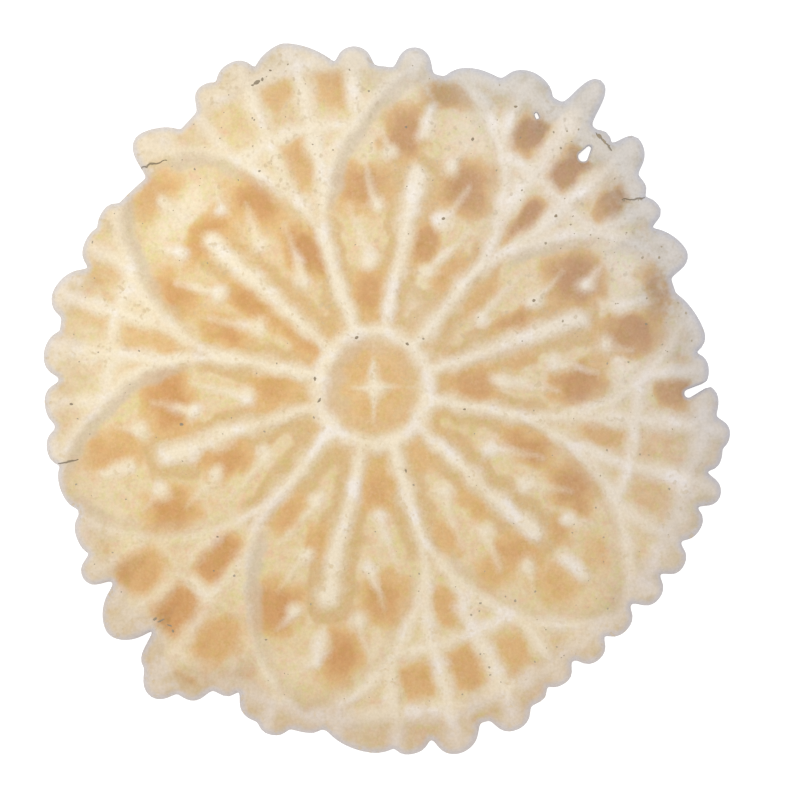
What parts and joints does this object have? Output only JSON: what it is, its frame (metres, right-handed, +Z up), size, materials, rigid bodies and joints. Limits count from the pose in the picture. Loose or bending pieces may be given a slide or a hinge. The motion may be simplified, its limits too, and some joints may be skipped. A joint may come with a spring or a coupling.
{
  "type": "pizzelle wafer cookie",
  "caption": "Thin round crisp wafer cookie with a raised flower pattern, lattice between its petals and an uneven knobbly rim.",
  "frame": {"origin": "middle of the hub ring, on the plane that the underside's ridges rest on", "axes": "+Z up through the wafer, out of the face that shows; +X to the right and +Y away when that face is looked down on"},
  "size_m": [0.1248, 0.1294, 0.0032],
  "materials": {
    "baked_batter": "dry matte baked batter, pale cream on the ridges and light tan in the floors"
  },
  "bodies": {
    "root": {"pizzelle": "baked_batter"}
  },
  "joints": []
}
